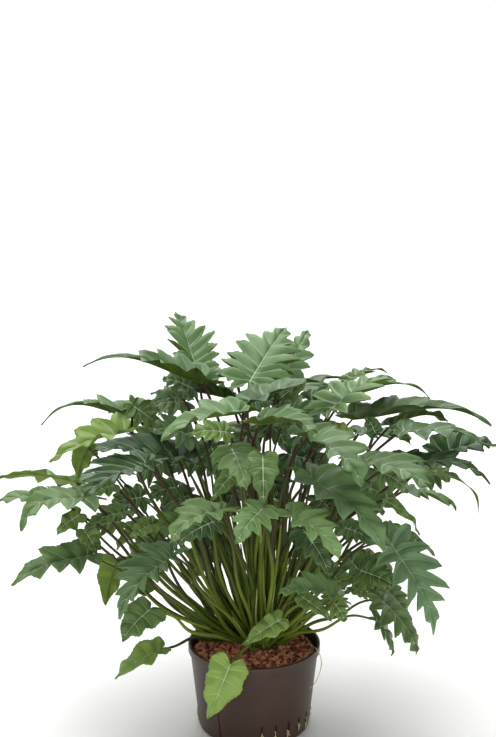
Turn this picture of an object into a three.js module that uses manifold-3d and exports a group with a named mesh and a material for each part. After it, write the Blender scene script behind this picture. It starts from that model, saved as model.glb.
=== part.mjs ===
// A philodendron xanadu in its round grow pot: pot, clay granules, the crown with its leaf stalks,
// one loose air root, and every large leaf blade as a solid of its own.
// Millimetres, +Z up. The origin is the centre of the pot's base and -Y is the front.
import * as THREE from "three";
import { mergeVertices } from "three/addons/utils/BufferGeometryUtils.js";
import Module from "manifold-3d";

// ---- driving dimensions -------------------------------------------------------------------------
const POT_HEIGHT = 190;
const RIM_RADIUS = 140;
const RIM_BAND = 17;
const BAND_PROUD = 2.2;
const BASE_RADIUS = 117;
const CORNER_RADIUS = 10;
const WALL = 3;
const POT_SEGMENTS = 44;

const SLOT_COUNT = 20;
const SLOT_STEP = 14.5;
const FIRST_SLOT = 7.2;
const SLOT_WIDTH = 6.5;
const SLOT_LOW = 20;
const SLOT_HIGH = 52;

const GAP = 0.35;
const GRANULE_LEVEL = 173;
const GRANULE_SIZE = 12;
const GRANULE_RISE = 2.6;
const GRANULE_SEGMENTS = 52;

const CROWN = new THREE.Vector2(20, 36);
const CROWN_RADIUS = 68;
const CROWN_DEPTH = 55;
const CROWN_TOP = GRANULE_LEVEL + 3;

const STALK_FOOT_RADIUS = 5;
const STALK_END_RADIUS = 2.4;
const STALK_SIDES = 5;
const STALK_STEPS = 5;
const STALK_SINK = 3;
const INNERMOST_STALK = 6;
const OUTERMOST_STALK = 49;
const FOOT_TURN = 50;
const FOOT_SCATTER = 0.35;
const LEAST_RISE = 110;
const LEFT_BOW = 0.2;

const BLADE_THICKNESS = 1.3;
const TIP_FOLD = 0.4;
const LOBE_SINK = 9;
const BAY_LIFT = 6;
const REACH_SPREAD = 0.2;
const SWING_SPREAD = 6;
const LIFT_SPREAD = 12;
const TWIST = 24;
const ROOT_RADIUS = 1.2;

const DEG = Math.PI / 180;
const UP = new THREE.Vector3(0, 0, 1);

// ---- leaf forms ---------------------------------------------------------------------------------
// Half a leaf's edge from the notch to the tip. Each station has its place on the midrib (0 to 1),
// the angle in degrees between the vein and the midrib, and the vein's length as a share of the
// blade's reach. Lobe tips and the bays between them take turns.
const FORMS = {
  mature: [
    [0.0, 165, 0.25], [0.0, 140, 0.5], [0.01, 118, 0.38], [0.02, 92, 0.66], [0.05, 80, 0.48],
    [0.07, 72, 0.83], [0.11, 66, 0.56], [0.14, 60, 0.93], [0.2, 56, 0.6], [0.24, 52, 1],
    [0.33, 50, 0.55], [0.38, 44, 0.94], [0.5, 46, 0.37], [0.58, 38, 0.62], [0.7, 44, 0.26],
    [0.78, 40, 0.32], [0.88, 50, 0.14], [1.0, 60, 0.02],
  ],
  broad: [
    [0.0, 160, 0.34], [0.0, 136, 0.66], [0.02, 114, 0.52], [0.05, 94, 0.86], [0.11, 82, 0.62],
    [0.16, 70, 1], [0.24, 64, 0.66], [0.31, 54, 0.98], [0.43, 54, 0.52], [0.54, 46, 0.66],
    [0.68, 48, 0.4], [0.82, 48, 0.3], [0.92, 54, 0.12], [1.0, 60, 0.02],
  ],
  tongue: [
    [0.0, 160, 0.3], [0.0, 138, 0.64], [0.02, 116, 0.48], [0.06, 94, 0.86], [0.13, 80, 0.58],
    [0.19, 66, 1], [0.3, 62, 0.56], [0.38, 52, 0.86], [0.5, 54, 0.46], [0.62, 50, 0.48],
    [0.75, 50, 0.38], [0.88, 54, 0.2], [1.0, 60, 0.02],
  ],
  cut: [
    [0.0, 160, 0.26], [0.0, 144, 0.62], [0.02, 128, 0.36], [0.05, 108, 0.84], [0.09, 94, 0.42],
    [0.12, 80, 1], [0.18, 72, 0.44], [0.22, 60, 1.06], [0.32, 56, 0.4], [0.36, 47, 0.96],
    [0.47, 48, 0.3], [0.52, 40, 0.72], [0.64, 45, 0.22], [0.72, 40, 0.36], [0.84, 48, 0.15],
    [1.0, 60, 0.02],
  ],
  tailed: [
    [0.0, 160, 0.3], [0.0, 140, 0.56], [0.02, 118, 0.42], [0.04, 94, 0.78], [0.09, 80, 0.56],
    [0.12, 68, 0.96], [0.19, 62, 0.58], [0.24, 52, 1], [0.34, 52, 0.46], [0.4, 44, 0.78],
    [0.52, 50, 0.22], [0.66, 54, 0.15], [0.83, 56, 0.1], [1.0, 60, 0.02],
  ],
  young: [
    [0.0, 152, 0.22], [0.0, 134, 0.68], [0.03, 114, 0.9], [0.08, 98, 1], [0.16, 86, 0.98],
    [0.26, 76, 1], [0.38, 68, 0.82], [0.52, 60, 0.72], [0.68, 56, 0.47], [0.84, 56, 0.27],
    [1.0, 60, 0.02],
  ],
};

// ---- the leaves ---------------------------------------------------------------------------------
// Each row: form; blade base x, y, z; blade tip x, y, z; the way the upper face looks, as an angle
// round the plant (0 is the front, 90 the right) and a height angle; how far the midrib arches;
// how far the end drops; the reach of the longest vein; and the fold of the two halves.
const LEAVES = [
  ["tailed", -105, 60, 745, -350, 20, 790, 80, 80, 5, 65, 85, 40],
  ["mature", -120, 135, 750, -170, 275, 845, 30, 35, 0, 10, 80, 35],
  ["mature", -10, 30, 755, 70, 235, 820, 0, 60, 5, 10, 95, 15],
  ["mature", 50, 95, 730, 120, 290, 800, 30, 50, 5, 35, 55, 10],
  ["broad", -10, -70, 740, 190, 40, 760, -115, 80, 10, 15, 65, 25],
  ["cut", 155, 0, 705, 295, 135, 735, -90, 75, 10, 20, 85, 20],
  ["tailed", 205, 150, 700, 375, 130, 690, 145, 85, 10, 45, 45, 25],
  ["tailed", 205, 260, 690, 300, 330, 690, -135, 80, 10, 20, 40, 20],
  ["tongue", 205, 80, 660, 495, 60, 650, 170, 85, 10, 60, 70, 40],
  ["tongue", 290, 120, 635, 420, 190, 620, -160, 60, 10, 25, 50, 35],
  ["tongue", 295, -20, 665, 475, -60, 640, 75, 80, 10, 35, 65, 15],
  ["broad", 395, 110, 575, 535, 160, 570, 35, 75, 10, 15, 60, 30],
  ["mature", 290, -60, 620, 470, -120, 585, 70, 80, 5, 50, 65, 15],
  ["broad", 215, -120, 635, 340, -240, 615, 75, 85, 10, 20, 80, 15],
  ["tailed", 340, 60, 560, 480, 80, 450, 105, 50, 10, 60, 35, 30],
  ["tailed", -245, 130, 645, -450, 100, 640, -165, 85, 10, 75, 65, 40],
  ["tongue", -260, 45, 645, -420, -15, 595, -55, 75, 10, 15, 65, 35],
  ["young", -355, 125, 585, -385, 175, 490, -165, 25, 10, 10, 30, 10],
  ["broad", -145, -15, 600, -330, -100, 645, 75, 75, 10, 20, 85, 30],
  ["mature", -210, -170, 645, -330, -270, 605, -55, 75, 10, 20, 85, 25],
  ["tongue", -375, 80, 520, -545, 100, 520, 180, 55, 10, 15, 50, 5],
  ["tongue", -340, -60, 535, -470, -120, 485, -60, 70, 20, 55, 75, 15],
  ["broad", -400, 10, 505, -560, 25, 480, -95, 80, 10, 25, 50, 20],
  ["broad", -335, -60, 410, -490, -140, 375, -25, 75, 10, 25, 70, 20],
  ["mature", -165, -150, 445, -265, -250, 350, -45, 55, 15, 30, 80, 35],
  ["young", -215, -85, 300, -270, -135, 250, -20, 40, 10, 10, 40, 10],
  ["young", -195, -40, 190, -290, -80, 140, -35, 60, 10, 10, 35, 25],
  ["young", -50, -150, 205, -95, -150, 85, -5, 5, 5, 5, 40, 10],
  ["young", 55, -90, 280, -25, -110, 230, 10, 45, 10, 5, 25, 10],
  ["broad", -45, -150, 670, -15, -270, 625, 0, 50, 10, 20, 55, 5],
  ["young", 15, -260, 690, 15, -325, 615, 5, 35, 5, 10, 30, 5],
  ["tongue", 15, -275, 590, -35, -330, 540, -10, 40, 10, 15, 45, 10],
  ["tongue", 70, -225, 560, 160, -305, 500, 55, 65, 10, 20, 65, 25],
  ["tongue", 115, -130, 600, 250, -260, 495, 60, 60, 15, 25, 95, 25],
  ["tongue", 105, -140, 690, 205, -250, 625, 60, 65, 15, 25, 85, 30],
  ["broad", 10, -165, 725, 120, -240, 730, -65, 90, 10, 20, 65, 35],
  ["tongue", -30, -140, 740, -180, -215, 705, -60, 80, 10, 25, 65, 35],
  ["tongue", -65, -220, 565, -160, -300, 530, -60, 75, 15, 25, 65, 25],
  ["cut", 275, -100, 455, 360, -190, 290, 45, 30, 10, 30, 90, 25],
  ["broad", 265, -60, 310, 335, -110, 210, 65, 40, 10, 15, 60, 5],
  ["broad", 255, -20, 250, 295, 0, 155, 80, 20, 10, 10, 40, 10],
  ["broad", 160, -200, 375, 45, -240, 400, 50, 70, 15, 10, 55, 35],
  ["mature", -55, 185, 675, -225, 215, 675, 175, 75, 10, 10, 50, 60],
  ["young", -295, 60, 350, -320, 60, 245, -170, 15, 10, 10, 35, 10],
  ["young", 270, 0, 510, 345, 0, 430, 60, 40, 10, 15, 20, 10],
  ["mature", -40, 265, 700, -110, 450, 640, 170, 60, 15, 25, 85, 5],
  ["mature", 95, 240, 680, 140, 435, 610, 170, 60, 15, 20, 85, 5],
  ["mature", -190, 210, 645, -330, 370, 585, -150, 60, 15, 20, 80, 5],
  ["mature", 235, 275, 570, 365, 410, 495, 145, 55, 15, 20, 75, 5],
  ["broad", 10, 285, 575, 0, 480, 495, 180, 50, 15, 20, 80, 5],
  ["mature", -135, 290, 505, -235, 445, 405, -160, 45, 15, 20, 80, 5],
  ["mature", 150, 300, 475, 225, 460, 365, 160, 45, 15, 20, 80, 5],
  ["tongue", -300, 185, 500, -445, 295, 425, -130, 50, 15, 20, 70, 5],
  ["mature", 330, 190, 465, 460, 290, 375, 125, 50, 15, 20, 70, 5],
  ["tongue", -215, 225, 370, -315, 335, 265, -140, 40, 10, 15, 65, 5],
  ["broad", 35, 300, 395, 50, 430, 290, 175, 40, 10, 15, 70, 5],
];

// ---- shared geometry ----------------------------------------------------------------------------
// The same draw for the same leaf and place every time, from 0 to 1.
function chance(seed, place) {
  const value = Math.sin(seed * 12.9898 + place * 78.233) * 43758.5453;
  return value - Math.floor(value);
}

function fromTriangles(points, triangles) {
  const geometry = new THREE.BufferGeometry();
  geometry.setAttribute("position", new THREE.Float32BufferAttribute(points.flat(), 3));
  geometry.setIndex(triangles.flat());
  return geometry;
}

// Closes a row of rings with equal counts into one solid. turned(step, side) says which diagonal a
// quad takes, and caps are the triangles of the last ring's end.
function skin(rings, caps, turned = () => false) {
  const count = rings[0].length;
  const triangles = [];
  for (let step = 0; step + 1 < rings.length; step += 1) {
    for (let side = 0; side < count; side += 1) {
      const next = (side + 1) % count;
      const [a, b] = [step * count + side, step * count + next];
      const [c, d] = [b + count, a + count];
      triangles.push(...(turned(step, side) ? [[a, b, d], [b, c, d]] : [[a, b, c], [a, c, d]]));
    }
  }
  const last = (rings.length - 1) * count;
  for (const [a, b, c] of caps) {
    triangles.push([c, b, a], [last + a, last + b, last + c]);
  }
  const points = rings.flat().map((point) => point.toArray());
  return fromTriangles(points, triangles);
}

// A round bar along a curve, its radius given at each share of the way.
function bar(curve, radiusAt, steps, sides) {
  const rings = [];
  const frames = curve.computeFrenetFrames(steps, false);
  for (let step = 0; step <= steps; step += 1) {
    const share = step / steps;
    const centre = curve.getPointAt(share);
    const ring = [];
    for (let side = 0; side < sides; side += 1) {
      const angle = (2 * Math.PI * side) / sides;
      const spoke = frames.normals[step].clone().multiplyScalar(Math.cos(angle));
      spoke.addScaledVector(frames.binormals[step], Math.sin(angle));
      ring.push(centre.clone().addScaledVector(spoke, radiusAt(share)));
    }
    rings.push(ring);
  }
  const caps = [];
  for (let side = 1; side + 1 < sides; side += 1) {
    caps.push([0, side, side + 1]);
  }
  return skin(rings, caps);
}

const wasm = await Module();
wasm.setup();

function toSolid(geometry) {
  const bare = geometry.clone();
  bare.deleteAttribute("normal");
  bare.deleteAttribute("uv");
  const merged = mergeVertices(bare, 1e-4);
  const mesh = new wasm.Mesh({
    numProp: 3,
    vertProperties: new Float32Array(merged.attributes.position.array),
    triVerts: new Uint32Array(merged.index.array),
  });
  return new wasm.Manifold(mesh);
}

function fromSolid(solid) {
  const mesh = solid.getMesh();
  const geometry = new THREE.BufferGeometry();
  geometry.setAttribute("position", new THREE.BufferAttribute(mesh.vertProperties, 3));
  geometry.setIndex(new THREE.BufferAttribute(mesh.triVerts, 1));
  return geometry;
}

function lathe(profile, segments) {
  const points = profile.map(([radius, height]) => new THREE.Vector2(radius, height));
  return new THREE.LatheGeometry(points, segments).rotateX(Math.PI / 2);
}

// ---- pot ----------------------------------------------------------------------------------------
function outerRadius(height) {
  return BASE_RADIUS + ((RIM_RADIUS - BAND_PROUD - BASE_RADIUS) * height) / POT_HEIGHT;
}

function innerRadius(height) {
  return outerRadius(height) - WALL;
}

function potGeometry() {
  const profile = [[0, 0], [BASE_RADIUS - CORNER_RADIUS + 1, 0]];
  for (const turn of [30, 60]) {
    const lean = turn * DEG;
    const radius = outerRadius(CORNER_RADIUS) - CORNER_RADIUS * (1 - Math.sin(lean));
    profile.push([radius, CORNER_RADIUS * (1 - Math.cos(lean))]);
  }
  profile.push([outerRadius(CORNER_RADIUS), CORNER_RADIUS]);
  profile.push([outerRadius(POT_HEIGHT - RIM_BAND), POT_HEIGHT - RIM_BAND]);
  profile.push([RIM_RADIUS, POT_HEIGHT - RIM_BAND]);
  profile.push([RIM_RADIUS, POT_HEIGHT]);
  profile.push([innerRadius(POT_HEIGHT), POT_HEIGHT]);
  profile.push([innerRadius(CORNER_RADIUS), CORNER_RADIUS]);
  profile.push([innerRadius(CORNER_RADIUS) - CORNER_RADIUS + WALL, WALL]);
  profile.push([0, WALL]);
  let pot = toSolid(lathe(profile, POT_SEGMENTS));
  for (let index = 0; index < SLOT_COUNT; index += 1) {
    const tall = SLOT_HIGH - SLOT_LOW;
    const cutter = new THREE.BoxGeometry(SLOT_WIDTH, 5 * WALL, tall);
    cutter.translate(0, -outerRadius(SLOT_LOW), SLOT_LOW + tall / 2);
    cutter.rotateZ((FIRST_SLOT + index * SLOT_STEP) * DEG);
    pot = pot.subtract(toSolid(cutter));
  }
  return fromSolid(pot);
}

// ---- granules -----------------------------------------------------------------------------------
function crownGeometry(grow) {
  const radius = CROWN_RADIUS + grow;
  const low = GRANULE_LEVEL - CROWN_DEPTH - grow;
  const high = CROWN_TOP + (grow > 0 ? GRANULE_SIZE : 0);
  const profile = [[0, low], [radius * 0.8, low], [radius, low + CROWN_DEPTH / 2], [radius, high]];
  return lathe([...profile, [0, high]], 20).translate(CROWN.x, CROWN.y, 0);
}

function granulesGeometry() {
  const floor = WALL + GAP;
  const edge = innerRadius(GRANULE_LEVEL) - GAP;
  const foot = innerRadius(CORNER_RADIUS) - CORNER_RADIUS + WALL;
  const profile = [[0, floor], [foot - GAP, floor]];
  profile.push([innerRadius(CORNER_RADIUS) - GAP, CORNER_RADIUS], [edge, GRANULE_LEVEL]);
  const rings = Math.floor((edge - 10) / GRANULE_SIZE);
  for (let ring = 1; ring <= rings; ring += 1) {
    profile.push([edge - ring * GRANULE_SIZE, GRANULE_LEVEL]);
  }
  const heap = lathe([...profile, [0, GRANULE_LEVEL]], GRANULE_SEGMENTS);
  const place = heap.attributes.position;
  for (let index = 0; index < place.count; index += 1) {
    const [x, y, z] = [place.getX(index), place.getY(index), place.getZ(index)];
    const radius = Math.hypot(x, y);
    if (z > GRANULE_LEVEL - 1 && radius > 1 && radius < edge - 1) {
      const ring = Math.round((edge - radius) / GRANULE_SIZE);
      const turn = Math.round((Math.atan2(y, x) / (2 * Math.PI)) * GRANULE_SEGMENTS);
      const sign = (ring + turn) % 2 === 0 ? 1 : -1;
      const rise = 0.5 + 0.5 * chance(ring, (turn + GRANULE_SEGMENTS) % GRANULE_SEGMENTS);
      place.setZ(index, z + sign * GRANULE_RISE * rise);
    }
  }
  return fromSolid(toSolid(heap).subtract(toSolid(crownGeometry(GAP))));
}

// ---- leaf blades --------------------------------------------------------------------------------
function readLeaf(row, index) {
  const [form, bx, by, bz, tx, ty, tz, turn, height, arch, drop, reach, fold] = row;
  const base = new THREE.Vector3(bx, by, bz);
  const tip = new THREE.Vector3(tx, ty, tz);
  const face = new THREE.Vector3(
    Math.sin(turn * DEG) * Math.cos(height * DEG),
    -Math.cos(turn * DEG) * Math.cos(height * DEG),
    Math.sin(height * DEG),
  );
  const chord = tip.clone().sub(base);
  const along = chord.clone().normalize();
  face.addScaledVector(along, -face.dot(along)).normalize();
  const first = base.clone().addScaledVector(chord, 1 / 3).addScaledVector(face, arch);
  const second = base.clone().addScaledVector(chord, 2 / 3).addScaledVector(face, arch + drop);
  const midrib = new THREE.CubicBezierCurve3(base, first, second, tip);
  const side = along.clone().cross(face);
  return { seed: index + 1, form, base, face, side, midrib, reach, fold };
}

// The midrib's place, direction, upward face and side at one share of its length. The blade turns
// a little about the midrib towards its tip.
function frameOf(leaf, share) {
  const place = leaf.midrib.getPoint(share);
  const along = leaf.midrib.getTangent(share);
  const side = leaf.side.clone().addScaledVector(along, -leaf.side.dot(along)).normalize();
  side.applyAxisAngle(along, TWIST * DEG * (chance(leaf.seed, 600) - 0.5) * share);
  const up = side.clone().cross(along);
  return { place, along, side, up };
}

// The end of one vein. hand is -1 on the left half and 1 on the right, and each lobe has its own
// length, angle and lift by a fixed draw. The fold opens towards the tip. Lobes hang below it and the
// bays rise above it.
function veinEnd(leaf, station, hand) {
  const [share, angle, length] = FORMS[leaf.form][station];
  const at = frameOf(leaf, share);
  const draw = station + (hand > 0 ? 40 : 0);
  const reach = leaf.reach * length * (1 + REACH_SPREAD * (chance(leaf.seed, draw) - 0.5));
  const swing = (angle + SWING_SPREAD * (chance(leaf.seed, draw + 100) - 0.5)) * DEG;
  const fold = leaf.fold * THREE.MathUtils.lerp(1, TIP_FOLD, share);
  const wave = station % 2 === 1 ? -LOBE_SINK : BAY_LIFT;
  const lift = (fold + wave + LIFT_SPREAD * (chance(leaf.seed, draw + 200) - 0.5)) * DEG;
  const end = at.place.clone().addScaledVector(at.along, reach * Math.cos(swing));
  end.addScaledVector(at.side, hand * reach * Math.sin(swing) * Math.cos(lift));
  return end.addScaledVector(at.up, reach * Math.sin(swing) * Math.sin(lift));
}

const LEFT_TOP = 0;
const RIGHT_LOW = 3;
const BLADE_CAPS = [[0, 1, 4], [0, 4, 5], [1, 2, 3], [1, 3, 4]];

function bladeGeometry(leaf) {
  const stations = FORMS[leaf.form];
  const rings = stations.map(([share], station) => {
    const at = frameOf(leaf, share);
    const top = [veinEnd(leaf, station, -1), at.place, veinEnd(leaf, station, 1)];
    const rise = (point, amount) => point.clone().addScaledVector(at.up, amount);
    const upper = top.map((point) => rise(point, BLADE_THICKNESS / 2));
    const lower = top.map((point) => rise(point, -BLADE_THICKNESS / 2)).reverse();
    return [...upper, ...lower];
  });
  const turned = (step, side) => {
    const outward = stations[step + 1][2] > stations[step][2];
    return (side === LEFT_TOP || side === RIGHT_LOW) !== outward;
  };
  return skin(rings, BLADE_CAPS, turned);
}

// ---- crown and leaf stalks ----------------------------------------------------------------------
// A stalk leaves the crown on the side that its leaf hangs on, further out the more it leans, and
// ends just under the blade's base. The feet are scattered a little. Stalks on the left bow out
// further before they rise.
function stalkCurve(leaf) {
  const at = frameOf(leaf, 0);
  const away = new THREE.Vector3(leaf.base.x - CROWN.x, leaf.base.y - CROWN.y, 0);
  const run = away.length();
  const climb = leaf.base.z - CROWN_TOP;
  away.normalize();
  const lean = Math.atan2(run, climb) / (90 * DEG);
  const start = new THREE.Vector3(CROWN.x, CROWN.y, CROWN_TOP - STALK_SINK);
  const outward = THREE.MathUtils.lerp(INNERMOST_STALK, OUTERMOST_STALK, Math.min(1, lean * 1.3));
  const foot = away.clone().applyAxisAngle(UP, FOOT_TURN * DEG * (chance(leaf.seed, 610) - 0.5));
  start.addScaledVector(foot, outward * (1 - FOOT_SCATTER * chance(leaf.seed, 611)));
  const rise = Math.max(climb, LEAST_RISE);
  const bow = LEFT_BOW * Math.max(0, -away.x);
  const knee = start.clone().addScaledVector(away, run * (0.3 + bow));
  knee.addScaledVector(UP, rise * (0.45 - bow));
  const arrive = leaf.base.clone().sub(knee).normalize().addScaledVector(at.along, 0.5).normalize();
  const slant = Math.sqrt(Math.max(0, 1 - arrive.dot(at.up) ** 2));
  const below = BLADE_THICKNESS / 2 + GAP + STALK_END_RADIUS * slant;
  const end = leaf.base.clone().addScaledVector(at.up, -below);
  const neck = end.clone().addScaledVector(arrive, -0.3 * end.distanceTo(start));
  return new THREE.CubicBezierCurve3(start, knee, neck, end);
}

function stalkGeometry(leaf) {
  const radiusAt = (share) => THREE.MathUtils.lerp(STALK_FOOT_RADIUS, STALK_END_RADIUS, share);
  return bar(stalkCurve(leaf), radiusAt, STALK_STEPS, STALK_SIDES);
}

function stalksGeometry(leaves) {
  const solids = leaves.map((leaf) => toSolid(stalkGeometry(leaf)));
  const joined = solids.reduce((sum, solid) => sum.add(solid), toSolid(crownGeometry(0)));
  return fromSolid(joined);
}

// ---- loose air root -----------------------------------------------------------------------------
// It lies on the granules, goes over the rim at the right and hangs down outside.
function rootGeometry() {
  const route = [
    [112, 40, 179], [119, 0, 184], [125, -35, 192], [131, -52, 195],
    [138, -60, 184], [141, -62, 166], [137, -64, 146], [129, -68, 128], [117, -72, 114],
  ];
  const curve = new THREE.CatmullRomCurve3(route.map((point) => new THREE.Vector3(...point)));
  return bar(curve, () => ROOT_RADIUS, 18, 5);
}

// ---- assembly -----------------------------------------------------------------------------------
const part = new THREE.Group();

function addPart(name, geometry, colour, roughness) {
  const material = new THREE.MeshStandardMaterial({ color: colour, roughness, metalness: 0 });
  const mesh = new THREE.Mesh(geometry, material);
  mesh.name = name;
  part.add(mesh);
}

const leaves = LEAVES.map(readLeaf);
addPart("pot", potGeometry(), 0x4d423c, 0.5);
addPart("granules", granulesGeometry(), 0x6f3a2a, 0.95);
addPart("stalks", stalksGeometry(leaves), 0x5f7034, 0.5);
addPart("air_root", rootGeometry(), 0xcfc39a, 0.7);
leaves.forEach((leaf, index) => {
  const name = `leaf_${String(index + 1).padStart(2, "0")}`;
  addPart(name, bladeGeometry(leaf), leaf.form === "young" ? 0x7fa04a : 0x5a7a5c, 0.45);
});

export default part;
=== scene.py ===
"""Looks of a philodendron xanadu in its grow pot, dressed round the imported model.

Metres and +Z up, as in the frame. The origin is the centre of the pot's base and -Y is the front.
The plant's own sizes are in millimetres, and MM makes them metres where a mesh is made.
"""

import math
import random
from functools import partial

import bmesh
import bpy
from mathutils import Euler, Matrix, Quaternion, Vector


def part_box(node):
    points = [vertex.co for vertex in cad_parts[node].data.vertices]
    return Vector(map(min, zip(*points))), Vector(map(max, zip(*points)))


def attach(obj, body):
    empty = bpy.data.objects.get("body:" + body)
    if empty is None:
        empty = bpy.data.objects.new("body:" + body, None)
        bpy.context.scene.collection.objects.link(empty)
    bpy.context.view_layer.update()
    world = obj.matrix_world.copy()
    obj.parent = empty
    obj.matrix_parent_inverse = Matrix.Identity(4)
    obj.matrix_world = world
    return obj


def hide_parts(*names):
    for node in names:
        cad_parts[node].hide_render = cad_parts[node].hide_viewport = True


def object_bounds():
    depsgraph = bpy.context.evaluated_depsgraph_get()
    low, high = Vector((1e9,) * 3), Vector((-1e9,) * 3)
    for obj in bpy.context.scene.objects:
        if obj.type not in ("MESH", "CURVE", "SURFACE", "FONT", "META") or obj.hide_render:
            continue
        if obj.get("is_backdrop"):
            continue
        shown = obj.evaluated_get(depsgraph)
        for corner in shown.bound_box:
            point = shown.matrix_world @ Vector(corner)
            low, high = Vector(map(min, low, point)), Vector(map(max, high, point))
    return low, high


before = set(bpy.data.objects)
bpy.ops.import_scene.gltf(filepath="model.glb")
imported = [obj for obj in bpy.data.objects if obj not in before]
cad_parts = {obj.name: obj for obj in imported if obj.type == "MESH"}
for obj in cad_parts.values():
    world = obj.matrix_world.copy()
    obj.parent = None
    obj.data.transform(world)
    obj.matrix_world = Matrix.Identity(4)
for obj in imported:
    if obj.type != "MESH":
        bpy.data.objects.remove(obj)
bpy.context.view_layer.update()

# ---- Camera, floor and light --------------------------------------------------------------------
# The plant stands on a plain pale studio floor, seen from the front and a little from above. The
# light is soft: a very wide one overhead, a panel on each of the four sides, and a white room.
IMAGE_HEIGHT = 737
FOCAL_LENGTH = 1684
SENSOR = 36
CAMERA_PLACE = (-0.013, -3.3, 1.7)
CAMERA_DIP = math.radians(15.4)
FLOOR_HALF = 60
FLOOR_COLOUR = (0.93, 0.93, 0.92, 1)
FLOOR_ROUGHNESS = 0.9
ROOM_STRENGTH = 0.27
OVERHEAD_STRENGTH = 3.1
OVERHEAD_WIDTH = math.radians(68)
OVERHEAD_TILT = (math.radians(-16), math.radians(-8), 0)
PLANT_MIDDLE = Vector((0, 0, 0.5))
LIGHT_PANELS = {
    "back_panel": {"place": (0, 4.2, 3.2), "size": 3.4, "power": 70},
    "front_panel": {"place": (0.5, -4.2, 1.5), "size": 2.4, "power": 50},
    "left_panel": {"place": (-2.9, -1.6, 1.3), "size": 1.6, "power": 8},
    "right_panel": {"place": (2.9, -1.4, 1.2), "size": 1.6, "power": 8},
}


def add_object(name, data):
    """Puts an object with this data into the scene."""
    made = bpy.data.objects.new(name, data)
    bpy.context.scene.collection.objects.link(made)
    return made


camera_data = bpy.data.cameras.new("camera")
camera_data.sensor_width = SENSOR
camera_data.lens = SENSOR * FOCAL_LENGTH / IMAGE_HEIGHT
camera = add_object("camera", camera_data)
camera.location = CAMERA_PLACE
camera.rotation_euler = (math.radians(90) - CAMERA_DIP, 0, 0)
bpy.context.scene.camera = camera
bpy.context.scene.view_settings.view_transform = "Standard"

room = bpy.data.worlds.new("room")
room.use_nodes = True
room.node_tree.nodes["Background"].inputs["Color"].default_value = (1, 1, 1, 1)
room.node_tree.nodes["Background"].inputs["Strength"].default_value = ROOM_STRENGTH
bpy.context.scene.world = room

overhead_data = bpy.data.lights.new("overhead_cloth", "SUN")
overhead_data.energy = OVERHEAD_STRENGTH
overhead_data.angle = OVERHEAD_WIDTH
add_object("overhead_cloth", overhead_data).rotation_euler = OVERHEAD_TILT
for name, values in LIGHT_PANELS.items():
    panel_data = bpy.data.lights.new(name, "AREA")
    panel_data.size = values["size"]
    panel_data.energy = values["power"]
    panel = add_object(name, panel_data)
    panel.location = values["place"]
    panel.rotation_euler = (panel.location - PLANT_MIDDLE).to_track_quat("Z", "Y").to_euler()
    panel.visible_camera = False


def finish_of(name, roughness=0.5, gloss=0.5):
    """A new material with its roughness and gloss set, its node tree and its shader."""
    material = bpy.data.materials.new(name)
    material.use_nodes = True
    shader = material.node_tree.nodes["Principled BSDF"]
    shader.inputs["Roughness"].default_value = roughness
    shader.inputs["Specular IOR Level"].default_value = gloss
    return material, material.node_tree, shader


def mesh_object(name, shape, finishes=()):
    """Makes an object of a bmesh, with its finishes."""
    mesh = bpy.data.meshes.new(name)
    shape.to_mesh(mesh)
    shape.free()
    for finish in finishes:
        mesh.materials.append(finish)
    return add_object(name, mesh)


floor_finish, tree, shader = finish_of("studio_floor", FLOOR_ROUGHNESS)
shader.inputs["Base Color"].default_value = FLOOR_COLOUR
floor_shape = bmesh.new()
bmesh.ops.create_grid(floor_shape, x_segments=1, y_segments=1, size=FLOOR_HALF)
floor = mesh_object("studio_floor", floor_shape, [floor_finish])
floor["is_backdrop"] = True

# ---- Pot ----------------------------------------------------------------------------------------
# A round grow pot of dark brown plastic, moulded in one piece: a tapered wall with a proud rim
# band, upright drain slots round the foot, and a panel with a seam where the slots leave off.
MM = 0.001
WELD = 1e-6
RIM_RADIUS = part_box("pot")[1].x / MM
POT_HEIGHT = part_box("pot")[1].z / MM
RIM_BAND = 17
BAND_PROUD = 2.2
BAND_EDGE = 0.6
RIM_EDGE = 1.4
INNER_EDGE = 1
BASE_RADIUS = 117
BASE_HOLLOW = 2.5
FOOT_RING = 28
FOOT_SLOPE = 2
CORNER_RADIUS = 10
WALL = 3
BASE_THICKNESS = 4
POT_STEPS = 144
SLOT_COUNT = 20
SLOT_STEP = 14.5
FIRST_SLOT = 7.2
SLOT_WIDTH = 6.5
SLOT_LOW = 20
SLOT_HIGH = 52
PANEL_FROM = -36.5
PANEL_TO = -7
PANEL_TOP = 50
PANEL_DEPTH = 0.9
PANEL_STEP = 2.5
SEAM_WIDTH = 2.2
CUTTER_DEPTH = 18
CUT_BELOW = 1
CUT_PAST = 5
SHARP_ANGLE = math.radians(35)
POT_DARK = (0.028, 0.014, 0.008, 1)
POT_LIGHT = (0.068, 0.037, 0.021, 1)
POT_ROUGHNESS = 0.42
POT_GLOSS = 0.4


def wall_radius(height):
    """The outside of the pot's wall at a height."""
    return BASE_RADIUS + (RIM_RADIUS - BAND_PROUD - BASE_RADIUS) * height / POT_HEIGHT


def arc(centre, radius, start, end, steps):
    """Points of a rounding from one angle in degrees to another."""
    turns = [math.radians(start + (end - start) * step / steps) for step in range(steps + 1)]
    return [(centre[0] + radius * math.cos(turn), centre[1] + radius * math.sin(turn)) for turn in turns]


def spin_profile(shape, profile, steps):
    """Spins (radius, height) points into a closed round body with its faces outward."""
    points = [shape.verts.new((radius * MM, 0, height * MM)) for radius, height in profile]
    edges = [shape.edges.new(pair) for pair in zip(points, points[1:])]
    turn = {"cent": (0, 0, 0), "axis": (0, 0, 1), "angle": math.tau}
    bmesh.ops.spin(shape, geom=points + edges, steps=steps, use_merge=True, **turn)
    bmesh.ops.remove_doubles(shape, verts=shape.verts, dist=WELD)
    bmesh.ops.recalc_face_normals(shape, faces=shape.faces)


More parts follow.
